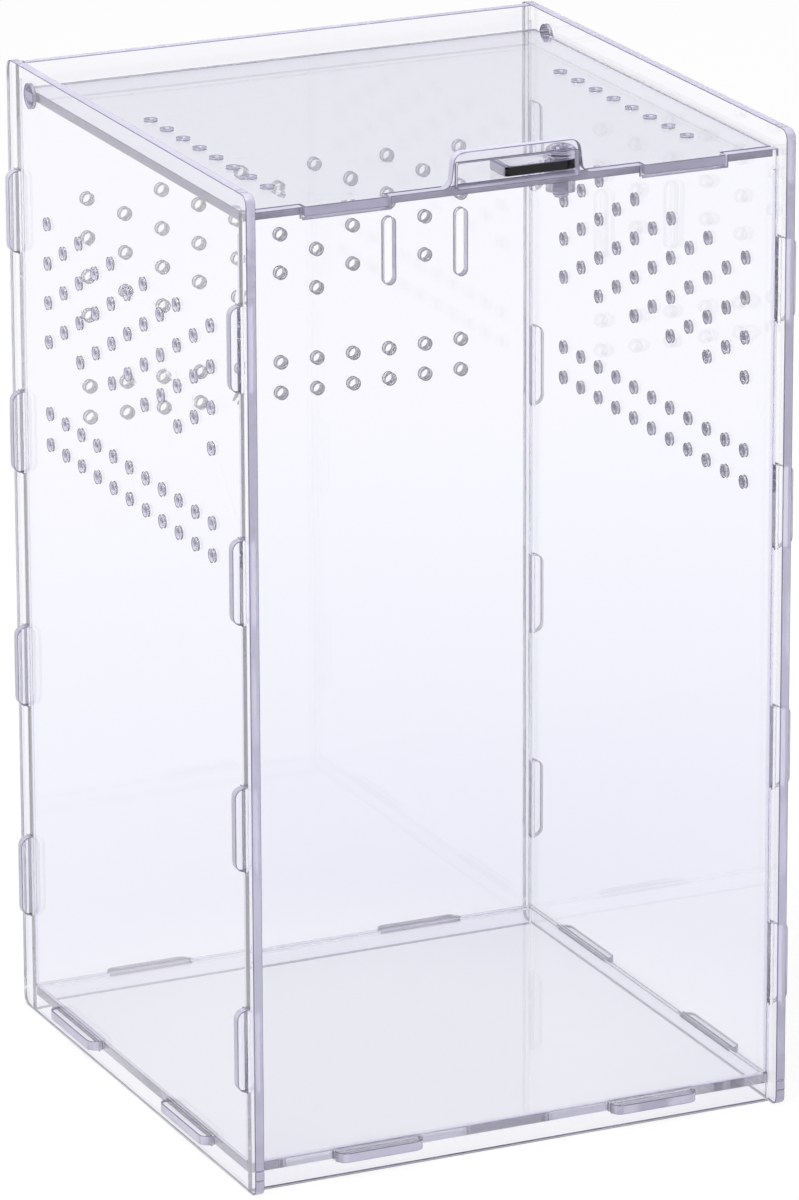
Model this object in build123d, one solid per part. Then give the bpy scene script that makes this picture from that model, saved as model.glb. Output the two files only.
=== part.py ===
from build123d import *
import os

# Clear acrylic breeding box: five laser-cut walls joined by tabs and slots, a lid hinged at the back,
# and a turning latch bar held to the lid by a clear screw and nut.
# Frame: +X right, +Y back, +Z up. The origin is the middle of the footprint, on the ground.

# Driving dimensions
SHEET = 2.5
BOX_WIDTH = 142.6
BOX_DEPTH = 146.4
BOX_HEIGHT = 248.0
WALL_SETBACK = 4.0
LID_TOP = 242.8
BASE_TOP = 6.7
JOINT_GAP = 0.05
LID_GAP = 0.5
PIN_GAP = 0.1
PLATE_CORNER = 2.5
TAB_CORNER = 2.4

# Tabs that pass through the neighbouring wall and stand out by one sheet
TAB_REACH = SHEET
WALL_TAB_LENGTH = 21.0
WALL_TAB_MIDDLES = (36.2, 92.2, 153.5, 210.3)
BASE_FRONT_TAB_LENGTH = 22.8
BASE_FRONT_TAB_OFFSET = 36.9
BASE_SIDE_TAB_LENGTH = 27.4
BASE_SIDE_TAB_OFFSET = 35.2
BASE_SIDE_TAB_CENTRE = 1.9

# Air holes: a staggered field above two plain rows
VENT_DIAMETER = 3.0
VENT_PITCH = 10.0
VENT_COLUMNS = 11
FIELD_TOP = 211.4
FIELD_ROWS = 4
ROW_HEIGHTS = (163.0, 155.0)
FIELD_SHIFT_SIDE = -0.6
FIELD_SHIFT_BACK = -1.0
HANGING_SLOT_COLUMNS = (8, 10)
HANGING_SLOT_LENGTH = 14.5
LID_VENT_COUNT = 8
LID_VENT_PITCH = 9.9
LID_VENT_OFFSET = 54.9
LID_VENT_CENTRE = -13.5

# Lid hinge: a stub at each end of the lid turns in a round hole of the side wall
HINGE_FROM_BACK = 14.4
HINGE_STUB_DEPTH = 4.6
HINGE_HOLE_DIAMETER = 6.0
LID_BEHIND_HINGE = 4.4
LID_TAB_LENGTH = 21.4
LID_TAB_OFFSET = 43.9

# Lug of the front wall, with the window that the latch bar turns into
LUG_RISE = 8.4
LUG_TOP_LENGTH = 32.6
LUG_SIDE_RUN = 1.0
LUG_FOOT_RADIUS = 2.4
LUG_TOP_RADIUS = 2.8
WINDOW_LENGTH = 31.3
WINDOW_SHIFT = 0.25
WINDOW_RISE = 5.6
WINDOW_DROP = 0.5
WINDOW_CORNER = 0.5

# Latch: bar, screw and nut
LATCH_X = 14.6
LATCH_FROM_WALL = 5.4
BAR_WIDTH = 9.2
BAR_REACH = 16.4
BAR_CORNER = 1.2
BAR_LIFT = 0.1
SCREW_DIAMETER = 4.0
SCREW_HEAD_DIAMETER = 7.4
SCREW_HEAD_HEIGHT = 2.7
SCREW_RECESS_LENGTH = 4.2
SCREW_RECESS_WIDTH = 0.9
SCREW_RECESS_DEPTH = 1.4
SCREW_TIP = 1.4
NUT_FLATS = 7.0
NUT_THICKNESS = 3.2

# Worked out from the values above
INNER_WIDTH = BOX_WIDTH - 2 * SHEET
FRONT_FACE_Y = -BOX_DEPTH / 2 + WALL_SETBACK
FRONT_BACK_Y = FRONT_FACE_Y + SHEET
BACK_FACE_Y = BOX_DEPTH / 2 - WALL_SETBACK
BACK_FRONT_Y = BACK_FACE_Y - SHEET
INNER_DEPTH = BACK_FRONT_Y - FRONT_BACK_Y
FRONT_HEIGHT = LID_TOP
LID_BOTTOM = LID_TOP - SHEET
BASE_BOTTOM = BASE_TOP - SHEET
HINGE_Y = BOX_DEPTH / 2 - HINGE_FROM_BACK
HINGE_Z = LID_TOP - SHEET / 2
LATCH_Y = FRONT_BACK_Y + LATCH_FROM_WALL
BAR_BOTTOM = LID_TOP + BAR_LIFT
BAR_TOP = BAR_BOTTOM + SHEET
HEAD_BOTTOM = BAR_TOP + BAR_LIFT


def side_plane(outer_x):
    """Drawing plane of a side wall: local x runs back, local y runs up, thickness grows towards +X."""
    return Plane(origin=(outer_x, 0, 0), x_dir=(0, 1, 0), z_dir=(1, 0, 0))


def wall_plane(front_y):
    """Drawing plane of a front or back wall: local x runs right, local y runs up."""
    return Plane(origin=(0, front_y, 0), x_dir=(1, 0, 0), z_dir=(0, -1, 0))


def rounded(length, height, radius, centre=(0, 0)):
    """A rectangle with round corners."""
    return Pos(*centre) * RectangleRounded(length, height, radius)


def tab(direction, span, middle, root):
    """A tab on the edge at distance root, with its two outer corners rounded; direction is a unit step."""
    reach = SHEET + TAB_REACH
    # the rounded end stands clear of the root, which is a plain strip
    across = root + reach / 2
    if direction[0]:
        end = Pos(direction[0] * across, middle) * RectangleRounded(reach, span, TAB_CORNER)
        strip = Pos(direction[0] * (root + reach / 4), middle) * Rectangle(reach / 2, span)
    else:
        end = Pos(middle, direction[1] * across) * RectangleRounded(span, reach, TAB_CORNER)
        strip = Pos(middle, direction[1] * (root + reach / 4)) * Rectangle(span, reach / 2)
    return end + strip


def vent_places(shift, leave_out=()):
    """Centres of the staggered field and of the two rows under it."""
    places = []
    for column in range(VENT_COLUMNS):
        across = (column - (VENT_COLUMNS - 1) / 2) * VENT_PITCH + shift
        rows = FIELD_ROWS - column % 2
        top = FIELD_TOP - column % 2 * VENT_PITCH / 2
        if column in leave_out:
            rows = rows - 2
        places += [(across, top - row * VENT_PITCH) for row in range(rows)]
        places += [(across, height) for height in ROW_HEIGHTS]
    return places


def vents(places):
    """Round holes at the given centres."""
    return Sketch() + [Pos(*place) * Circle(VENT_DIAMETER / 2) for place in places]


def side_wall():
    """Outline of a side wall: the largest plate, with slots for the front, back and base tabs."""
    plate = rounded(BOX_DEPTH, BOX_HEIGHT, PLATE_CORNER, (0, BOX_HEIGHT / 2))
    slot_width = SHEET + 2 * JOINT_GAP
    for middle in WALL_TAB_MIDDLES:
        for centre in ((FRONT_FACE_Y + FRONT_BACK_Y) / 2, (BACK_FACE_Y + BACK_FRONT_Y) / 2):
            plate -= Pos(centre, middle) * Rectangle(slot_width, WALL_TAB_LENGTH + 2 * JOINT_GAP)
    for side in (-1, 1):
        middle = BASE_SIDE_TAB_CENTRE + side * BASE_SIDE_TAB_OFFSET
        base_slot = Rectangle(BASE_SIDE_TAB_LENGTH + 2 * JOINT_GAP, slot_width)
        plate -= Pos(middle, BASE_TOP - SHEET / 2) * base_slot
    plate -= vents(vent_places(FIELD_SHIFT_SIDE))
    plate -= Pos(HINGE_Y, HINGE_Z) * Circle(HINGE_HOLE_DIAMETER / 2)
    return plate


def wall_blank(height):
    """Front or back wall before its holes: a plate between the side walls with four tabs each side."""
    plate = Pos(0, height / 2) * Rectangle(INNER_WIDTH, height)
    for side in (-1, 1):
        for middle in WALL_TAB_MIDDLES:
            plate += tab((side, 0), WALL_TAB_LENGTH, middle, INNER_WIDTH / 2)
        slot = Rectangle(BASE_FRONT_TAB_LENGTH + 2 * JOINT_GAP, SHEET + 2 * JOINT_GAP)
        plate -= Pos(side * BASE_FRONT_TAB_OFFSET, BASE_TOP - SHEET / 2) * slot
    return plate


def back_wall():
    """Outline of the back wall: the vent field with two upright hanging slots."""
    plate = wall_blank(BOX_HEIGHT)
    plate -= vents(vent_places(FIELD_SHIFT_BACK, HANGING_SLOT_COLUMNS))
    slot_middle = FIELD_TOP - 2.5 * VENT_PITCH + (HANGING_SLOT_LENGTH - VENT_PITCH) / 2
    for column in HANGING_SLOT_COLUMNS:
        across = (column - (VENT_COLUMNS - 1) / 2) * VENT_PITCH + FIELD_SHIFT_BACK
        slot = SlotCenterToCenter(HANGING_SLOT_LENGTH, VENT_DIAMETER)
        plate -= Pos(across, slot_middle) * Rot(0, 0, 90) * slot
    return plate


def lug_outline():
    """The raised lug: a trapezium with round shoulders and a round foot on each side."""
    half_top = LUG_TOP_LENGTH / 2
    half_foot = half_top + LUG_SIDE_RUN
    top = FRONT_HEIGHT + LUG_RISE
    half_base = half_foot + 2 * LUG_FOOT_RADIUS
    low = FRONT_HEIGHT - SHEET
    points = [(-half_base, low), (-half_base, FRONT_HEIGHT), (-half_foot, FRONT_HEIGHT), (-half_top, top),
              (half_top, top), (half_foot, FRONT_HEIGHT), (half_base, FRONT_HEIGHT), (half_base, low)]
    outline = make_face(Polyline(*points, close=True))
    shoulders = outline.vertices().filter_by(lambda v: abs(v.Y - top) < 0.01)
    outline = fillet(shoulders, LUG_TOP_RADIUS)
    feet = outline.vertices().filter_by(lambda v: abs(v.Y - FRONT_HEIGHT) < 0.01)
    feet = feet.filter_by(lambda v: abs(abs(v.X) - half_foot) < 0.01)
    return fillet(feet, LUG_FOOT_RADIUS)


def front_wall():
    """Outline of the front wall: plain, with two lid notches and the lug in its top edge."""
    plate = wall_blank(FRONT_HEIGHT)
    plate += lug_outline()
    notch_height = SHEET + LID_GAP
    for side in (-1, 1):
        notch = Rectangle(LID_TAB_LENGTH + 2 * LID_GAP, notch_height)
        plate -= Pos(side * LID_TAB_OFFSET, FRONT_HEIGHT - notch_height / 2) * notch
    window_height = WINDOW_RISE + WINDOW_DROP
    window_centre = (WINDOW_SHIFT, FRONT_HEIGHT - WINDOW_DROP + window_height / 2)
    plate -= rounded(WINDOW_LENGTH, window_height, WINDOW_CORNER, window_centre)
    return plate


def base_plate():
    """The floor, with two tabs on each of its four edges."""
    middle_y = (FRONT_BACK_Y + BACK_FRONT_Y) / 2
    plate = Rectangle(INNER_WIDTH, INNER_DEPTH)
    for side in (-1, 1):
        for edge in (-1, 1):
            along_y = BASE_SIDE_TAB_CENTRE - middle_y + side * BASE_SIDE_TAB_OFFSET
            plate += tab((edge, 0), BASE_SIDE_TAB_LENGTH, along_y, INNER_WIDTH / 2)
            plate += tab((0, edge), BASE_FRONT_TAB_LENGTH, side * BASE_FRONT_TAB_OFFSET, INNER_DEPTH / 2)
    return extrude(Pos(0, middle_y, BASE_BOTTOM) * plate, SHEET)


def lid_plate():
    """The lid: hinge stubs at the back, tabs that lie in the front wall's notches, vents and screw hole."""
    front = FRONT_BACK_Y + LID_GAP
    back = HINGE_Y + LID_BEHIND_HINGE
    width = INNER_WIDTH - 2 * LID_GAP
    plate = Pos(0, (front + back) / 2) * Rectangle(width, back - front)
    plate += Pos(0, HINGE_Y) * Rectangle(BOX_WIDTH, HINGE_STUB_DEPTH)
    tab_depth = front - FRONT_FACE_Y
    for side in (-1, 1):
        lid_tab = Rectangle(LID_TAB_LENGTH, tab_depth)
        plate += Pos(side * LID_TAB_OFFSET, FRONT_FACE_Y + tab_depth / 2) * lid_tab
        for index in range(LID_VENT_COUNT):
            along = LID_VENT_CENTRE + (index - (LID_VENT_COUNT - 1) / 2) * LID_VENT_PITCH
            plate -= Pos(side * LID_VENT_OFFSET, along) * Circle(VENT_DIAMETER / 2)
    plate -= Pos(LATCH_X, LATCH_Y) * Circle(SCREW_DIAMETER / 2)
    return extrude(Pos(0, 0, LID_BOTTOM) * plate, SHEET)


def latch_bar():
    """The bar: square with eased corners at its free end, and round about the screw."""
    straight = Pos(-BAR_REACH / 2, 0) * Rectangle(BAR_REACH, BAR_WIDTH)
    straight = fillet(straight.vertices().group_by(Axis.X)[0], BAR_CORNER)
    outline = straight + Circle(BAR_WIDTH / 2)
    outline -= Circle(SCREW_DIAMETER / 2 + PIN_GAP)
    return extrude(Pos(LATCH_X, LATCH_Y, BAR_BOTTOM) * outline, SHEET)


def latch_screw():
    """Clear pan-head screw with a cross recess."""
    tip = LID_BOTTOM - NUT_THICKNESS - SCREW_TIP
    shank_length = HEAD_BOTTOM - tip
    shank = Pos(0, 0, tip + shank_length / 2) * Cylinder(SCREW_DIAMETER / 2, shank_length)
    shank = chamfer(shank.edges().sort_by(Axis.Z)[0], SCREW_DIAMETER / 10)
    head = Cylinder(SCREW_HEAD_DIAMETER / 2, SCREW_HEAD_HEIGHT)
    head = Pos(0, 0, HEAD_BOTTOM + SCREW_HEAD_HEIGHT / 2) * head
    head = fillet(head.edges().sort_by(Axis.Z)[-1], SCREW_HEAD_HEIGHT * 0.55)
    screw = shank + head
    recess_z = HEAD_BOTTOM + SCREW_HEAD_HEIGHT - SCREW_RECESS_DEPTH / 2
    for turn in (0, 90):
        groove = Box(SCREW_RECESS_LENGTH, SCREW_RECESS_WIDTH, SCREW_RECESS_DEPTH)
        screw -= Pos(0, 0, recess_z) * Rot(0, 0, turn + 45) * groove
    return Pos(LATCH_X, LATCH_Y, 0) * screw


def latch_nut():
    """Hexagon nut under the lid."""
    corner_radius = NUT_FLATS / 3 ** 0.5
    outline = RegularPolygon(corner_radius, 6) - Circle(SCREW_DIAMETER / 2)
    nut = extrude(Pos(LATCH_X, LATCH_Y, LID_BOTTOM - NUT_THICKNESS) * outline, NUT_THICKNESS)
    round_blank = Cylinder(corner_radius, NUT_THICKNESS)
    round_blank = chamfer(round_blank.edges(), NUT_THICKNESS * 0.12)
    return nut & Pos(LATCH_X, LATCH_Y, LID_BOTTOM - NUT_THICKNESS / 2) * round_blank


PARTS = {
    "left_panel": extrude(side_plane(-BOX_WIDTH / 2) * side_wall(), SHEET),
    "right_panel": extrude(side_plane(BOX_WIDTH / 2 - SHEET) * side_wall(), SHEET),
    "front_panel": extrude(wall_plane(FRONT_BACK_Y) * front_wall(), SHEET),
    "back_panel": extrude(wall_plane(BACK_FACE_Y) * back_wall(), SHEET),
    "base_panel": base_plate(),
    "lid": lid_plate(),
    "latch_bar": latch_bar(),
    "latch_screw": latch_screw(),
    "latch_nut": latch_nut(),
}

os.makedirs("parts", exist_ok=True)
for name, shape in PARTS.items():
    solid = shape if isinstance(shape, Solid) else Solid(shape.solids()[0].wrapped)
    export_step(solid, f"parts/{name}.step")
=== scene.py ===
"""Clear acrylic breeding box, dressed over its CAD frame.

Lengths are metres unless a name says otherwise."""
import math

import bmesh
import bpy
from bpy.props import FloatProperty, FloatVectorProperty, IntProperty, PointerProperty
from mathutils import Euler, Matrix, Vector


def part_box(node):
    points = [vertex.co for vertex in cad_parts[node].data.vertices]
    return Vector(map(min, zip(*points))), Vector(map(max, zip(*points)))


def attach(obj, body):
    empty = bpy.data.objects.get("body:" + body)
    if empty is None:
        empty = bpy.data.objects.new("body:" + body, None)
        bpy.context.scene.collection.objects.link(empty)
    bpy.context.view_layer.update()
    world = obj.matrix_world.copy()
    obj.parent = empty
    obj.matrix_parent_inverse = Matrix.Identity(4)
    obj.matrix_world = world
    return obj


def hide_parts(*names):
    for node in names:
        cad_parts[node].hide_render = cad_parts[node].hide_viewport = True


bl_info = {
    "name": "Acrylic breeding box",
    "version": (1, 0, 0),
    "blender": (4, 5, 0),
    "location": "View3D > Sidebar > Breeding box",
    "description": "Builds the clear sheets, lid, latch and studio of a laser-cut breeding box",
    "category": "Object",
}

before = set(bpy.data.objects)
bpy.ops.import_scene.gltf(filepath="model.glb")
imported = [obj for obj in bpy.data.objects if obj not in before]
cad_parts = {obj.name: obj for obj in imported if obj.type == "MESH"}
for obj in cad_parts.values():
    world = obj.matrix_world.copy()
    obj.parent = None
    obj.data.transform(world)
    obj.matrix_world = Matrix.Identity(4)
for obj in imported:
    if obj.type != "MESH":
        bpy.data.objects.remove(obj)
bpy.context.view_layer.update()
MM = 0.001

WALLS = {"left_panel": 0, "right_panel": 0, "front_panel": 1, "back_panel": 1, "base_panel": 2}
LEFT_LOW, LEFT_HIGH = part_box("left_panel")
FRONT_LOW, FRONT_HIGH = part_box("front_panel")
BACK_LOW, BACK_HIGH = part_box("back_panel")
BASE_LOW, BASE_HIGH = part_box("base_panel")
LID_LOW, LID_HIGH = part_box("lid")
SCREW_LOW, SCREW_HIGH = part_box("latch_screw")
SHEET = LEFT_HIGH[0] - LEFT_LOW[0]
INNER_HALF_WIDTH = -LEFT_HIGH[0]

# Where each kind of sheet meets its neighbours, by the axis that it faces: (axis, place along it)
BASE_FACES = [(2, BASE_LOW[2]), (2, BASE_HIGH[2])]
JOINT_PLANES = {
    0: [(1, FRONT_LOW[1]), (1, FRONT_HIGH[1]), (1, BACK_LOW[1]), (1, BACK_HIGH[1])] + BASE_FACES,
    1: [(0, INNER_HALF_WIDTH)] + BASE_FACES,
    2: [(0, INNER_HALF_WIDTH), (1, FRONT_HIGH[1]), (1, BACK_LOW[1])],
}
JOINT_BAND = 0.25 * MM
# The share of a normal along the sheet's axis: nearly 1 on a polished face, 0 on a cut edge, and between
# them on the arris that joins the two
FACE_LIMIT = 0.97
CUT_LIMIT = 0.6
ARRIS_MIDDLE = 0.62
ARRIS_SPREAD = 0.35

# The staggered vent field, its two lower rows and the lid's rows, as they are cut in the sheets
VENT_RADIUS = 1.5 * MM
VENT_PITCH = 10 * MM
VENT_COLUMNS = 11
FIELD_TOP = 211.4 * MM
ROW_HEIGHTS = (163 * MM, 155 * MM)
SIDE_SHIFT = -0.6 * MM
BACK_SHIFT = -1.0 * MM
SLOT_COLUMNS = (8, 10)
LID_ROW_OFFSET = 54.9 * MM
LID_ROW_PITCH = 9.9 * MM
LID_ROW_CENTRE = -13.5 * MM
LID_ROW_COUNT = 8

# A vent's rim is this share of the sheet's thickness long, so its ends lie inside the hole
RIM_SHARE = 0.94

# Every sheet face is drawn back by this much, so that faces which touch in a joint keep a film of air
FACE_CLEARANCE = 0.03 * MM
MERGE_DISTANCE = 0.002 * MM
NUT_ROUND = 0.15 * MM

# The upright cement seams end this far under the top of the front and the back sheet
FRONT_SEAM_DROP = 14 * MM
BACK_SEAM_DROP = 4 * MM
# A bead's centre stands off the corner by this share of its radius
BEAD_INSET = 0.7

# Screw: M4 by 12, moulded
SHANK_RADIUS = 2 * MM
THREAD_PITCH = 0.7 * MM
THREAD_DEPTH = 0.32 * MM
THREAD_ROWS = 8
THREAD_FADE = 1.2 * MM
# The share of the thread's depth that is there at the tip already
THREAD_START = 0.35
TIP_LENGTH = 0.4 * MM
TIP_TAPER = 0.8
HEAD_HEIGHT = 2.7 * MM
# The head's straight rim takes this share of its height, and its flat crown this share of its radius
HEAD_RIM = 0.42
HEAD_CROWN = 0.45
DOME_STEPS = 6
RECESS_DEPTH = 1.5 * MM
RECESS_LENGTH = 4.3 * MM
RECESS_WIDTH = 0.9 * MM
RECESS_TURN = 40
RECESS_FOOT = 0.72
# The cutter stands out of the head by this much, and its second blade is wider by this much than its
# first, so that no two faces of the cut coincide
RECESS_OVER = 0.2 * MM
RECESS_WIDENING = 0.02 * MM

FLOOR_HALF = 6.0


def linear(code):
    """An sRGB hex colour as linear RGBA."""
    values = [int(code[i:i + 2], 16) / 255 for i in (1, 3, 5)]
    return [v / 12.92 if v <= 0.04045 else ((v + 0.055) / 1.055) ** 2.4 for v in values] + [1.0]


class SheetSettings(bpy.types.PropertyGroup):
    """Sizes and colours of the acrylic sheets."""
    tint: FloatVectorProperty(
        name="Tint", description="Colour that a long way through the sheet leaves", subtype="COLOR",
        size=4, min=0, max=1, default=linear("#DAD9E4"))
    depth: FloatProperty(
        name="Tint strength", description="Absorption density of the sheet, per metre", default=3.5, min=0)
    bevel: FloatProperty(
        name="Edge round", description="Rounding of the cut edges", subtype="DISTANCE",
        default=0.2 * MM, min=0)
    ring_wall: FloatProperty(
        name="Vent rim", description="Thickness of the flame-glossed skin of each vent hole",
        subtype="DISTANCE", default=0.22 * MM, min=0)
    seam: FloatProperty(
        name="Cement seam", description="Width of the cement fillet in the corners", subtype="DISTANCE",
        default=0.7 * MM, min=0)


class LatchSettings(bpy.types.PropertyGroup):
    """Sizes of the screw's visible detail."""
    thread_steps: IntProperty(
        name="Thread facets", description="Facets round the screw's shank", default=40, min=12)
    head_width: FloatProperty(
        name="Head width", description="Diameter of the pan head", subtype="DISTANCE",
        default=SCREW_HIGH[0] - SCREW_LOW[0], min=0)


class StageSettings(bpy.types.PropertyGroup):
    """Camera and light."""
    place: FloatVectorProperty(
        name="Camera place", description="Where the camera stands", subtype="TRANSLATION",
        size=3, default=(-0.7815, -1.6996, 0.7236))
    yaw: FloatProperty(
        name="Camera turn", description="Turn to the right of straight back", subtype="ANGLE",
        default=math.radians(24.72))
    pitch: FloatProperty(
        name="Camera dip", description="Tilt below level", subtype="ANGLE", default=math.radians(17.9))
    roll: FloatProperty(
        name="Camera roll", description="Turn about the line of sight", subtype="ANGLE",
        default=math.radians(-0.22))
    lens: FloatProperty(
        name="Lens", description="Focal length in mm on a 36 mm high frame", default=239.4, min=1)
    lamp: FloatProperty(
        name="Lamp power", description="Power of the overhead softbox, in watts", default=14.0, min=0)


def add_node(tree, kind, links=None, **settings):
    """One node with its settings; links maps an input's name or number to the socket that feeds it."""
    node = tree.nodes.new(kind)
    for key, value in settings.items():
        name = key.replace("_", " ")
        if hasattr(node, key):
            setattr(node, key, value)
        elif name in node.inputs:
            node.inputs[name].default_value = value
        else:
            raise KeyError(f"{kind} has no {key}")
    for key, socket in (links or {}).items():
        tree.links.new(socket, node.inputs[key])
    return node


def set_range(node, low, high, start, end):
    """Fill in a Map Range node: low to high becomes start to end."""
    for key, value in {"From Min": low, "From Max": high, "To Min": start, "To Max": end}.items():
        node.inputs[key].default_value = value


def new_material(name):
    """An empty node material and its output node."""
    material = bpy.data.materials.new(name)
    material.use_nodes = True
    material.node_tree.nodes.clear()
    output = material.node_tree.nodes.new("ShaderNodeOutputMaterial")
    return material, material.node_tree, output


def wetted_cut(tree, position, side, planes):
    """1 on the cut edges that lie in one of the joint planes, each an axis number and a place along it."""
    spot = add_node(tree, "ShaderNodeSeparateXYZ", {0: position})
    across = add_node(tree, "ShaderNodeMath", {0: spot.outputs[0]}, operation="ABSOLUTE")
    values = (across.outputs[0], spot.outputs[1], spot.outputs[2])
    cut = add_node(tree, "ShaderNodeMath", {0: side}, operation="LESS_THAN")
    cut.inputs[1].default_value = FACE_LIMIT
    near = None
    for axis, plane in planes:
        there = add_node(tree, "ShaderNodeMath", {0: values[axis]}, operation="COMPARE")
        there.inputs[1].default_value = plane
        there.inputs[2].default_value = JOINT_BAND
        if near:
            there = add_node(tree, "ShaderNodeMath", {0: near.outputs[0], 1: there.outputs[0]},
                             operation="MAXIMUM")
        near = there
    wet = add_node(tree, "ShaderNodeMath", {0: near.outputs[0], 1: cut.outputs[0]}, operation="MULTIPLY")
    return wet.outputs[0]


def cast_acrylic(name, axis, settings, joints=(), cut_colour="#D4D1E1", dark_reflection_colour=None):
    """Cast PMMA sheet, laser cut: polished faces with faint wipe marks, cut edges with fine beam lines."""
    material, tree, output = new_material(name)
    place = add_node(tree, "ShaderNodeTexCoord")
    split = add_node(tree, "ShaderNodeSeparateXYZ", {0: place.outputs["Normal"]})
    side = add_node(tree, "ShaderNodeMath", {0: split.outputs[axis]}, operation="ABSOLUTE")
    # 1 on a cut edge, 0 on a polished face
    edge = add_node(tree, "ShaderNodeMath", {0: side.outputs[0]}, operation="LESS_THAN")
    edge.inputs[1].default_value = CUT_LIMIT
    # Wipe marks: streaks some 30 mm long and 1 mm apart
    marks = add_node(tree, "ShaderNodeMapping", {"Vector": place.outputs["Object"]})
    marks.inputs["Rotation"].default_value = (0.3, 0.5, 0.4)
    marks.inputs["Scale"].default_value = (30, 30, 900)
    streaks = add_node(tree, "ShaderNodeTexNoise", {"Vector": marks.outputs[0]}, Scale=1.0, Detail=3.0)
    haze = add_node(tree, "ShaderNodeMapRange", {"Value": streaks.outputs[0]})
    set_range(haze, 0.5, 0.85, 0.0, 0.035)
    # Beam lines stand across the cut, 0.7 mm apart, coarser than the real 0.1 mm so that they show
    turn = [(0, 1, 1), (1, 0, 1), (1, 1, 0)][axis]
    across = add_node(tree, "ShaderNodeVectorMath", {0: place.outputs["Object"]}, operation="MULTIPLY")
    across.inputs[1].default_value = turn
    beam = add_node(tree, "ShaderNodeTexNoise", {"Vector": across.outputs[0]}, Scale=1 / (0.7 * MM),
                    Detail=2.0)
    rough_edge = add_node(tree, "ShaderNodeMapRange", {"Value": beam.outputs[0]})
    set_range(rough_edge, 0.0, 1.0, 0.03, 0.12)
    rough = add_node(tree, "ShaderNodeMix", {0: edge.outputs[0], 2: haze.outputs[0],
                                             3: rough_edge.outputs[0]}, data_type="FLOAT")
    # Cast sheet is never quite flat: waves of some 25 mm, a few microns high
    wave = add_node(tree, "ShaderNodeTexNoise", {"Vector": place.outputs["Object"]}, Scale=40.0,
                    Detail=0.0)
    relief = add_node(tree, "ShaderNodeMath", {0: beam.outputs[0], 1: edge.outputs[0]},
                      operation="MULTIPLY")
    gentle = add_node(tree, "ShaderNodeBump", {"Height": wave.outputs[0]}, Strength=0.02, Distance=MM)
    ribbed = add_node(tree, "ShaderNodeBump", {"Height": relief.outputs[0],
                                               "Normal": gentle.outputs[0]},
                      Strength=0.12, Distance=0.2 * MM)
    tone = add_node(tree, "ShaderNodeMix", {0: edge.outputs[0]}, data_type="RGBA")
    tone.inputs[6].default_value = linear("#FCFCFF")
    tone.inputs[7].default_value = linear(cut_colour)
    if dark_reflection_colour:
        # Painted dark reflection: one long edge, the one that faces forward at rest, is painted near black
        facing = add_node(tree, "ShaderNodeMath", {0: split.outputs[1]}, operation="LESS_THAN")
        facing.inputs[1].default_value = -CUT_LIMIT
        tone = add_node(tree, "ShaderNodeMix", {0: facing.outputs[0], 6: tone.outputs[2]}, data_type="RGBA")
        tone.inputs[7].default_value = linear(dark_reflection_colour)
    # The cut is fused and slightly milky, so it catches light that a polished face lets through
    clear = add_node(tree, "ShaderNodeMapRange", {"Value": edge.outputs[0]})
    set_range(clear, 0.0, 1.0, 1.0, 0.45)
    # Painted shade: the rounded arris between face and cut bends light away, and a grey base colour with
    # less transmission draws this as a thin dark line
    arris = add_node(tree, "ShaderNodeMath", {0: side.outputs[0]}, operation="COMPARE")
    arris.inputs[1].default_value = ARRIS_MIDDLE
    arris.inputs[2].default_value = ARRIS_SPREAD
    line = add_node(tree, "ShaderNodeMix", {0: arris.outputs[0], 6: tone.outputs[2]}, data_type="RGBA")
    line.inputs[7].default_value = linear("#7F7C94")
    see_through = add_node(tree, "ShaderNodeMix", {0: arris.outputs[0], 2: clear.outputs[0]},
                           data_type="FLOAT")
    see_through.inputs[3].default_value = 0.4
    if joints:
        # In a joint the cement wets the cut and makes it almost as clear as a face
        wet = wetted_cut(tree, place.outputs["Object"], side.outputs[0], joints)
        line = add_node(tree, "ShaderNodeMix", {0: wet, 6: line.outputs[2]}, data_type="RGBA")
        line.inputs[7].default_value = (1, 1, 1, 1)
        see_through = add_node(tree, "ShaderNodeMix", {0: wet, 2: see_through.outputs[0]},
                               data_type="FLOAT")
        see_through.inputs[3].default_value = 0.9
    shader = add_node(tree, "ShaderNodeBsdfPrincipled",
                      {"Base Color": line.outputs[2], "Roughness": rough.outputs[0],
                       "Transmission Weight": see_through.outputs[0], "Normal": ribbed.outputs[0]},
                      IOR=1.49)
    shader.inputs["Specular IOR Level"].default_value = 0.25
    volume = add_node(tree, "ShaderNodeVolumeAbsorption", Color=settings.tint, Density=settings.depth)
    tree.links.new(shader.outputs[0], output.inputs["Surface"])
    tree.links.new(volume.outputs[0], output.inputs["Volume"])
    return material


def clear_moulding(name, colour, roughness, mottle, clearness=1.0):
    """Injection-moulded clear plastic or set cement: glossy, with soft flow marks a millimetre across."""
    material, tree, output = new_material(name)
    place = add_node(tree, "ShaderNodeTexCoord")
    flow = add_node(tree, "ShaderNodeTexNoise", {"Vector": place.outputs["Object"]}, Scale=1 / MM,
                    Detail=2.0)
    rough = add_node(tree, "ShaderNodeMapRange", {"Value": flow.outputs[0]})
    set_range(rough, 0.0, 1.0, roughness * 0.5, roughness * 1.5)
    bump = add_node(tree, "ShaderNodeBump", {"Height": flow.outputs[0]}, Strength=mottle,
                    Distance=0.1 * MM)
    shader = add_node(tree, "ShaderNodeBsdfPrincipled",
                      {"Roughness": rough.outputs[0], "Normal": bump.outputs[0]}, IOR=1.52)
    shader.inputs["Base Color"].default_value = linear(colour)
    shader.inputs["Transmission Weight"].default_value = clearness
    tree.links.new(shader.outputs[0], output.inputs["Surface"])
    return material


def finish_piece(piece, body, *nodes):
    """The piece rides its body and stands for the CAD nodes it was shaped from."""
    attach(piece, body)
    if nodes:
        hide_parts(*nodes)


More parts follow.
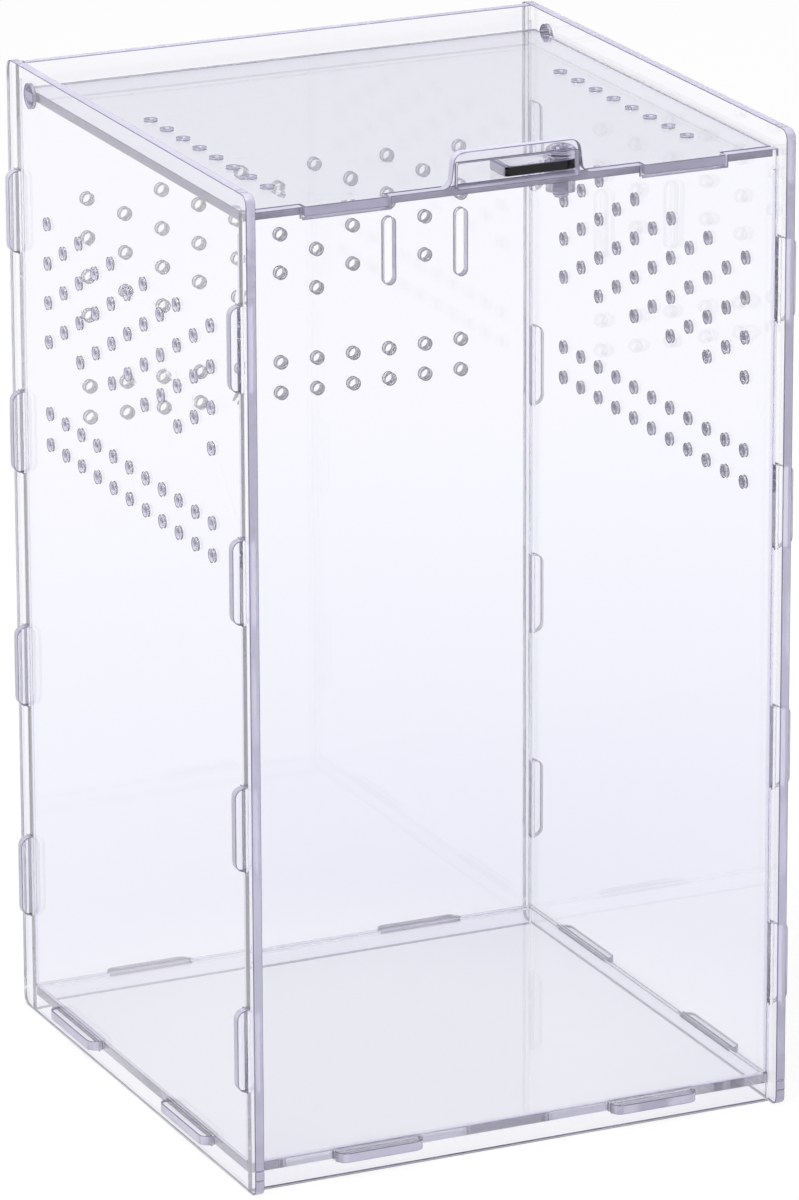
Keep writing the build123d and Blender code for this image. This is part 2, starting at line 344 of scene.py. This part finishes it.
def new_piece(name, mesh, material=None):
    """An object in the scene for a mesh."""
    piece = bpy.data.objects.new(name, mesh)
    bpy.context.scene.collection.objects.link(piece)
    if material:
        mesh.materials.clear()
        mesh.materials.append(material)
    return piece


def applied(piece):
    """The piece with its modifiers made part of its mesh."""
    bpy.context.view_layer.update()
    graph = bpy.context.evaluated_depsgraph_get()
    mesh = bpy.data.meshes.new_from_object(piece.evaluated_get(graph))
    piece.modifiers.clear()
    piece.data = mesh
    return piece


def sheet_from(node, name, material, bevel):
    """A merged copy of a CAD node with its cut edges rounded."""
    shape = bmesh.new()
    shape.from_mesh(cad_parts[node].data)
    bmesh.ops.remove_doubles(shape, verts=shape.verts, dist=MERGE_DISTANCE)
    flat = math.radians(0.5)
    bmesh.ops.dissolve_limit(shape, angle_limit=flat, verts=shape.verts, edges=shape.edges)
    shape.normal_update()
    moves = [vert.normal * vert.calc_shell_factor() * FACE_CLEARANCE for vert in shape.verts]
    for vert, move in zip(shape.verts, moves):
        vert.co -= move
    mesh = bpy.data.meshes.new(name)
    shape.to_mesh(mesh)
    shape.free()
    piece = new_piece(name, mesh)
    rounding = piece.modifiers.new("Edge round", "BEVEL")
    rounding.width = bevel
    rounding.segments = 2
    rounding.limit_method = "ANGLE"
    rounding.angle_limit = math.radians(40)
    rounding.use_clamp_overlap = False
    piece.modifiers.new("Facets", "TRIANGULATE")
    applied(piece)
    piece.data.materials.clear()
    piece.data.materials.append(material)
    return piece


def socket_id(tree, name):
    """Identifier of a Geometry Nodes group input."""
    return next(i.identifier for i in tree.interface.items_tree if i.name == name and i.in_out == "INPUT")


def vent_rim_tree(material):
    """Geometry Nodes: a thin sleeve on every point, for the glossed skin of a laser-cut hole."""
    tree = bpy.data.node_groups.new("vent_rims", "GeometryNodeTree")
    tree.interface.new_socket("Points", in_out="INPUT", socket_type="NodeSocketGeometry")
    for name in ("Hole radius", "Skin", "Depth"):
        tree.interface.new_socket(name, in_out="INPUT", socket_type="NodeSocketFloat")
    tree.interface.new_socket("Turn", in_out="INPUT", socket_type="NodeSocketVector")
    tree.interface.new_socket("Rims", in_out="OUTPUT", socket_type="NodeSocketGeometry")
    given = add_node(tree, "NodeGroupInput").outputs
    half = add_node(tree, "ShaderNodeMath", {0: given["Skin"]}, operation="MULTIPLY")
    half.inputs[1].default_value = 0.5
    middle = add_node(tree, "ShaderNodeMath", {0: given["Hole radius"], 1: half.outputs[0]},
                      operation="SUBTRACT")
    ring = add_node(tree, "GeometryNodeCurvePrimitiveCircle", {"Radius": middle.outputs[0]}, Resolution=28)
    section = add_node(tree, "GeometryNodeCurvePrimitiveQuadrilateral",
                       {"Width": given["Skin"], "Height": given["Depth"]})
    sleeve = add_node(tree, "GeometryNodeCurveToMesh", {0: ring.outputs[0], 1: section.outputs[0]})
    spread = add_node(tree, "GeometryNodeInstanceOnPoints",
                      {"Points": given["Points"], "Instance": sleeve.outputs[0], "Rotation": given["Turn"]})
    whole = add_node(tree, "GeometryNodeRealizeInstances", {0: spread.outputs[0]})
    dressed = add_node(tree, "GeometryNodeSetMaterial", {0: whole.outputs[0]}, Material=material)
    add_node(tree, "NodeGroupOutput", {0: dressed.outputs[0]})
    return tree


def seam_tree(material):
    """Geometry Nodes: a three-sided bead along every edge of a mesh of corner lines."""
    tree = bpy.data.node_groups.new("cement_seams", "GeometryNodeTree")
    tree.interface.new_socket("Lines", in_out="INPUT", socket_type="NodeSocketGeometry")
    tree.interface.new_socket("Width", in_out="INPUT", socket_type="NodeSocketFloat")
    tree.interface.new_socket("Seams", in_out="OUTPUT", socket_type="NodeSocketGeometry")
    given = add_node(tree, "NodeGroupInput").outputs
    runs = add_node(tree, "GeometryNodeMeshToCurve", {0: given["Lines"]})
    section = add_node(tree, "GeometryNodeCurvePrimitiveCircle", {"Radius": given["Width"]}, Resolution=10)
    bead = add_node(tree, "GeometryNodeCurveToMesh", {0: runs.outputs[0], 1: section.outputs[0]})
    bead.inputs["Fill Caps"].default_value = True
    dressed = add_node(tree, "GeometryNodeSetMaterial", {0: bead.outputs[0]}, Material=material)
    add_node(tree, "NodeGroupOutput", {0: dressed.outputs[0]})
    return tree


def grown(name, points, edges, tree, **inputs):
    """A piece that a Geometry Nodes tree grows from points or lines."""
    mesh = bpy.data.meshes.new(name)
    mesh.from_pydata(points, edges, [])
    piece = new_piece(name, mesh)
    modifier = piece.modifiers.new(tree.name, "NODES")
    modifier.node_group = tree
    for key, value in inputs.items():
        modifier[socket_id(tree, key.replace("_", " "))] = value
    return applied(piece)


def field_places(shift, slots=()):
    """(across, height) of each vent hole of a wall."""
    places = []
    for column in range(VENT_COLUMNS):
        across = (column - (VENT_COLUMNS - 1) / 2) * VENT_PITCH + shift
        rows = 4 - column % 2 - (2 if column in slots else 0)
        top = FIELD_TOP - column % 2 * VENT_PITCH / 2
        heights = [top - row * VENT_PITCH for row in range(rows)] + list(ROW_HEIGHTS)
        places += [(across, height) for height in heights]
    return places


class BOX_OT_walls(bpy.types.Operator):
    """Build the four walls and the floor with their rounded cut edges"""
    bl_idname = "box.walls"
    bl_label = "Walls and floor"

    def execute(self, context):
        settings = context.scene.box_sheet
        for node, axis in WALLS.items():
            material = cast_acrylic(f"cast_acrylic_{node}", axis, settings, JOINT_PLANES[axis])
            piece = sheet_from(node, f"{node}_sheet", material, settings.bevel)
            finish_piece(piece, "box", node)
        return {"FINISHED"}


class BOX_OT_vents(bpy.types.Operator):
    """Line every vent hole with its glossed skin"""
    bl_idname = "box.vents"
    bl_label = "Vent hole rims"

    def execute(self, context):
        settings = context.scene.box_sheet
        tree = vent_rim_tree(clear_moulding("laser_frosted_bore", "#DDDBE8", 0.3, 0.2, 0.25))
        # Painted shade: the lid's vent skins are a darker grey copy of the same laser-cut bore
        lid_tree = vent_rim_tree(clear_moulding("laser_bore_painted_shade", "#A9A6B9", 0.3, 0.2, 0.25))
        # Painted light: the back wall's vent skins are a white, clearer and glossier copy of the same bore,
        # so that its holes show no shaded side
        back_tree = vent_rim_tree(clear_moulding("laser_bore_painted_light", "#FFFFFF", 0.1, 0.1, 0.75))
        sizes = {"Hole_radius": VENT_RADIUS, "Skin": settings.ring_wall, "Depth": SHEET * RIM_SHARE}
        quarter = math.pi / 2
        side = [(height, across) for across, height in field_places(SIDE_SHIFT)]
        for name, x in (("left", -INNER_HALF_WIDTH - SHEET / 2), ("right", INNER_HALF_WIDTH + SHEET / 2)):
            points = [(x, across, height) for height, across in side]
            rims = grown(f"vent_rims_{name}", points, [], tree, Turn=(0, quarter, 0), **sizes)
            finish_piece(rims, "box")
        y = BACK_LOW[1] + SHEET / 2
        points = [(across, y, height) for across, height in field_places(BACK_SHIFT, SLOT_COLUMNS)]
        finish_piece(grown("vent_rims_back", points, [], back_tree, Turn=(quarter, 0, 0), **sizes), "box")
        z = (LID_LOW[2] + LID_HIGH[2]) / 2
        points = []
        for index in range(LID_ROW_COUNT):
            along = LID_ROW_CENTRE + (index - (LID_ROW_COUNT - 1) / 2) * LID_ROW_PITCH
            points += [(side * LID_ROW_OFFSET, along, z) for side in (-1, 1)]
        finish_piece(grown("vent_rims_lid", points, [], lid_tree, Turn=(0, 0, 0), **sizes), "lid")
        return {"FINISHED"}


class BOX_OT_seams(bpy.types.Operator):
    """Run the solvent cement along the inner corners"""
    bl_idname = "box.seams"
    bl_label = "Cement seams"

    def execute(self, context):
        cement = clear_moulding("set_solvent_cement", "#F4F2FC", 0.12, 0.4)
        width = context.scene.box_sheet.seam / 2
        inset = width * BEAD_INSET
        x = INNER_HALF_WIDTH - inset
        front = FRONT_HIGH[1] + inset
        back = BACK_LOW[1] - inset
        floor = BASE_HIGH[2] + inset
        corners = [(-x, front), (x, front), (x, back), (-x, back)]
        low = [(*corner, floor) for corner in corners]
        front_top = FRONT_HIGH[2] - FRONT_SEAM_DROP
        back_top = BACK_HIGH[2] - BACK_SEAM_DROP
        tops = [front_top, front_top, back_top, back_top]
        high = [(*corner, top) for corner, top in zip(corners, tops)]
        edges = [(0, 1), (1, 2), (2, 3), (3, 0)] + [(i, i + 4) for i in range(4)]
        seams = grown("cement_seams", low + high, edges, seam_tree(cement), Width=width)
        finish_piece(seams, "box")
        return {"FINISHED"}


class BOX_OT_lid(bpy.types.Operator):
    """Build the hinged lid"""
    bl_idname = "box.lid"
    bl_label = "Lid"

    def execute(self, context):
        settings = context.scene.box_sheet
        material = cast_acrylic("cast_acrylic_lid", 2, settings, cut_colour="#BBB8CA")
        finish_piece(sheet_from("lid", "lid_sheet", material, settings.bevel), "lid", "lid")
        return {"FINISHED"}


def screw_mesh(facets, head_radius):
    """A closed surface: threaded shank below, pan head above, the thread fading out under the head."""
    tip = SCREW_LOW[2]
    seat = SCREW_HIGH[2] - HEAD_HEIGHT
    steps = int((seat - tip) / THREAD_PITCH * THREAD_ROWS)
    centre = Vector(((SCREW_LOW[0] + SCREW_HIGH[0]) / 2, (SCREW_LOW[1] + SCREW_HIGH[1]) / 2, 0))
    levels = [tip + (seat - tip) * i / steps for i in range(steps + 1)]
    rings = []
    for z in levels:
        ring = []
        for k in range(facets):
            phase = (z / THREAD_PITCH - k / facets) % 1
            groove = 1 - abs(2 * phase - 1)
            fade = min(1, (seat - z) / THREAD_FADE) * min(1, THREAD_START + (z - tip) / MM)
            taper = max(0, tip + TIP_LENGTH - z) * TIP_TAPER
            radius = SHANK_RADIUS - THREAD_DEPTH * groove * fade - taper
            ring.append((radius, z))
        rings.append(ring)
    profile = [(head_radius, seat), (head_radius, seat + HEAD_HEIGHT * HEAD_RIM)]
    for i in range(1, DOME_STEPS + 1):
        angle = math.pi / 2 * i / DOME_STEPS
        rise = HEAD_HEIGHT * (HEAD_RIM + (1 - HEAD_RIM) * math.sin(angle))
        across = head_radius * (HEAD_CROWN + (1 - HEAD_CROWN) * math.cos(angle))
        profile.append((across, seat + rise))
    rings += [[point] * facets for point in profile]
    shape = bmesh.new()
    made = []
    for ring in rings:
        row = []
        for k, (radius, z) in enumerate(ring):
            angle = 2 * math.pi * k / facets
            spot = centre + Vector((radius * math.cos(angle), radius * math.sin(angle), z))
            row.append(shape.verts.new(spot))
        made.append(row)
    for low, high in zip(made, made[1:]):
        for k in range(facets):
            after = (k + 1) % facets
            shape.faces.new((low[k], low[after], high[after], high[k]))
    shape.faces.new(list(reversed(made[0])))
    shape.faces.new(made[-1])
    mesh = bpy.data.meshes.new("latch_screw_body")
    shape.to_mesh(mesh)
    shape.free()
    return mesh, centre


def cross_cutter(centre):
    """The screwdriver's cross, narrower at its foot."""
    shape = bmesh.new()
    top = SCREW_HIGH[2] + RECESS_OVER
    depth = RECESS_DEPTH + RECESS_OVER
    for turn in (0, 90):
        place = Matrix.Translation((centre.x, centre.y, top - depth / 2))
        place = place @ Matrix.Rotation(math.radians(turn + RECESS_TURN), 4, "Z")
        blade = bmesh.ops.create_cube(shape, size=1)["verts"]
        width = RECESS_WIDTH + (RECESS_WIDENING if turn else 0)
        for vert in blade:
            foot = RECESS_FOOT if vert.co.z < 0 else 1.0
            size = Vector((RECESS_LENGTH * foot, width * foot, depth))
            vert.co = place @ (vert.co * size)
    mesh = bpy.data.meshes.new("cross_cutter")
    shape.to_mesh(mesh)
    shape.free()
    return new_piece("cross_cutter", mesh)


class BOX_OT_latch(bpy.types.Operator):
    """Build the latch bar, its threaded screw and the nut"""
    bl_idname = "box.latch"
    bl_label = "Latch"

    def execute(self, context):
        sheet = context.scene.box_sheet
        settings = context.scene.box_latch
        # Painted dark reflection: the bar's forward cut edge is painted near black
        bar_stuff = cast_acrylic("cast_acrylic_latch_bar", 2, sheet, dark_reflection_colour="#010102")
        bar = sheet_from("latch_bar", "latch_bar_sheet", bar_stuff, sheet.bevel)
        finish_piece(bar, "latch", "latch_bar")
        plastic = clear_moulding("moulded_clear_nylon", "#CFCDDC", 0.05, 0.1, 0.9)
        mesh, centre = screw_mesh(settings.thread_steps, settings.head_width / 2)
        screw = new_piece("latch_screw_threaded", mesh, plastic)
        cutter = cross_cutter(centre)
        cut = screw.modifiers.new("Cross recess", "BOOLEAN")
        cut.operation = "DIFFERENCE"
        cut.solver = "EXACT"
        cut.use_self = True
        cut.object = cutter
        applied(screw)
        screw.data.materials.clear()
        screw.data.materials.append(plastic)
        bpy.data.objects.remove(cutter)
        finish_piece(screw, "lid", "latch_screw")
        nut = sheet_from("latch_nut", "latch_nut_moulded", plastic, NUT_ROUND)
        finish_piece(nut, "lid", "latch_nut")
        return {"FINISHED"}


def paper_floor():
    """Matt white paper: shown white to the lens and through the sheets, still taking the box's shadow."""
    material, tree, output = new_material("white_paper_floor")
    rays = add_node(tree, "ShaderNodeLightPath")
    through = rays.outputs["Is Transmission Ray"]
    seen = add_node(tree, "ShaderNodeMath",
                    {0: rays.outputs["Is Camera Ray"], 1: rays.outputs["Is Glossy Ray"]}, operation="ADD")
    shown = add_node(tree, "ShaderNodeMath", {0: seen.outputs[0], 1: through}, operation="ADD",
                     use_clamp=True)
    share = add_node(tree, "ShaderNodeMath", {0: shown.outputs[0]}, operation="MULTIPLY")
    share.inputs[1].default_value = 0.9
    matt = add_node(tree, "ShaderNodeBsdfDiffuse", Color=linear("#F6F6F8"))
    # Painted shadow: the box's own soft shade on the paper, up to 0.65 m round it but not under it, is
    # painted into the paper's glow and shows only through the sheets
    place = add_node(tree, "ShaderNodeTexCoord")
    reach = add_node(tree, "ShaderNodeVectorMath", {0: place.outputs["Object"]}, operation="LENGTH")
    near = add_node(tree, "ShaderNodeMapRange", {"Value": reach.outputs["Value"]})
    near.interpolation_type = "SMOOTHSTEP"
    set_range(near, 0.1, 0.65, 1.0, 0.0)
    outside = add_node(tree, "ShaderNodeMapRange", {"Value": reach.outputs["Value"]})
    outside.interpolation_type = "SMOOTHSTEP"
    set_range(outside, 0.04, 0.14, 0.0, 1.0)
    ring = add_node(tree, "ShaderNodeMath", {0: near.outputs[0], 1: outside.outputs[0]},
                    operation="MULTIPLY")
    painted_shadow = add_node(tree, "ShaderNodeMath", {0: ring.outputs[0], 1: through}, operation="MULTIPLY")
    colour = add_node(tree, "ShaderNodeMix", {0: painted_shadow.outputs[0]}, data_type="RGBA")
    colour.inputs[6].default_value = (1, 1, 1, 1)
    colour.inputs[7].default_value = linear("#F0F0F7")
    glow = add_node(tree, "ShaderNodeEmission", {"Color": colour.outputs[2]}, Strength=1.0)
    mixed = add_node(tree, "ShaderNodeMixShader",
                     {0: share.outputs[0], 1: matt.outputs[0], 2: glow.outputs[0]})
    tree.links.new(mixed.outputs[0], output.inputs["Surface"])
    return material


def studio_world(world):
    """A white room, greyer behind the camera and high on the far wall, so that cut edges draw lines."""
    world.use_nodes = True
    tree = world.node_tree
    tree.nodes.clear()
    way = add_node(tree, "ShaderNodeTexCoord")
    toward = add_node(tree, "ShaderNodeVectorMath", {0: way.outputs["Generated"]}, operation="DOT_PRODUCT")
    toward.inputs[1].default_value = (-0.30, -0.92, 0.25)
    front = add_node(tree, "ShaderNodeMapRange", {"Value": toward.outputs["Value"]})
    front.interpolation_type = "SMOOTHSTEP"
    set_range(front, 0.0, 0.5, 0.0, 1.0)
    # The upper part of the far wall is a little darker, which greys the lid
    away = add_node(tree, "ShaderNodeVectorMath", {0: way.outputs["Generated"]}, operation="DOT_PRODUCT")
    away.inputs[1].default_value = (0.39, 0.86, 0.31)
    far = add_node(tree, "ShaderNodeMapRange", {"Value": away.outputs["Value"]})
    far.interpolation_type = "SMOOTHSTEP"
    set_range(far, 0.7, 0.97, 0.0, 1.0)
    near_tone = add_node(tree, "ShaderNodeMix", {0: front.outputs[0]}, data_type="RGBA")
    near_tone.inputs[6].default_value = (1, 1, 1, 1)
    near_tone.inputs[7].default_value = linear("#A3A3B2")
    tone = add_node(tree, "ShaderNodeMix", {0: far.outputs[0], 6: near_tone.outputs[2]}, data_type="RGBA")
    tone.inputs[7].default_value = linear("#D0D0DC")
    light = add_node(tree, "ShaderNodeBackground", {"Color": tone.outputs[2]}, Strength=1.0)
    add_node(tree, "ShaderNodeOutputWorld", {0: light.outputs[0]})


class BOX_OT_stage(bpy.types.Operator):
    """Set up the floor, the light and the camera"""
    bl_idname = "box.stage"
    bl_label = "Floor, light and camera"

    def execute(self, context):
        scene = context.scene
        settings = scene.box_stage
        corners = [(x * FLOOR_HALF, y * FLOOR_HALF, 0) for x, y in ((-1, -1), (1, -1), (1, 1), (-1, 1))]
        mesh = bpy.data.meshes.new("floor")
        mesh.from_pydata(corners, [], [(0, 1, 2, 3)])
        new_piece("floor", mesh, paper_floor())
        studio_world(bpy.data.worlds.new("studio"))
        scene.world = bpy.data.worlds["studio"]
        softbox = bpy.data.lights.new("softbox", "AREA")
        softbox.energy = settings.lamp
        softbox.size = 0.8
        lamp = bpy.data.objects.new("softbox", softbox)
        lamp.location = (-0.3, -0.2, 1.1)
        lamp.rotation_euler = (Vector((0, 0, 0.15)) - lamp.location).to_track_quat("-Z", "Y").to_euler()
        scene.collection.objects.link(lamp)
        lens = bpy.data.cameras.new("camera")
        lens.sensor_fit = "VERTICAL"
        lens.sensor_height = 36
        lens.lens = settings.lens
        lens.clip_end = 100
        camera = bpy.data.objects.new("camera", lens)
        turned = Euler((math.pi / 2 - settings.pitch, 0, -settings.yaw)).to_matrix().to_4x4()
        turned = turned @ Matrix.Rotation(settings.roll, 4, "Z")
        camera.matrix_world = Matrix.Translation(settings.place) @ turned
        scene.collection.objects.link(camera)
        scene.camera = camera
        scene.view_settings.view_transform = "Standard"
        # Light runs far inside a clear sheet before it leaves by a cut edge
        scene.cycles.max_bounces = 40
        scene.cycles.transmission_bounces = 40
        scene.cycles.glossy_bounces = 40
        return {"FINISHED"}


class BOX_PT_panel(bpy.types.Panel):
    """Sidebar panel with the box's settings and builders"""
    bl_idname = "BOX_PT_panel"
    bl_label = "Breeding box"
    bl_space_type = "VIEW_3D"
    bl_region_type = "UI"
    bl_category = "Breeding box"

    def draw(self, context):
        for group in ("box_sheet", "box_latch", "box_stage"):
            settings = getattr(context.scene, group)
            for name in settings.__annotations__:
                self.layout.prop(settings, name)
        for operator in OPERATORS:
            self.layout.operator(operator.bl_idname)


OPERATORS = (BOX_OT_walls, BOX_OT_vents, BOX_OT_seams, BOX_OT_lid, BOX_OT_latch, BOX_OT_stage)
CLASSES = (SheetSettings, LatchSettings, StageSettings, *OPERATORS, BOX_PT_panel)


def register():
    for item in CLASSES:
        bpy.utils.register_class(item)
    bpy.types.Scene.box_sheet = PointerProperty(type=SheetSettings)
    bpy.types.Scene.box_latch = PointerProperty(type=LatchSettings)
    bpy.types.Scene.box_stage = PointerProperty(type=StageSettings)


def unregister():
    del bpy.types.Scene.box_stage
    del bpy.types.Scene.box_latch
    del bpy.types.Scene.box_sheet
    for item in reversed(CLASSES):
        bpy.utils.unregister_class(item)


def main():
    register()
    bpy.ops.box.walls()
    bpy.ops.box.vents()
    bpy.ops.box.seams()
    bpy.ops.box.lid()
    bpy.ops.box.latch()
    bpy.ops.box.stage()


if __name__ == "__main__":
    main()
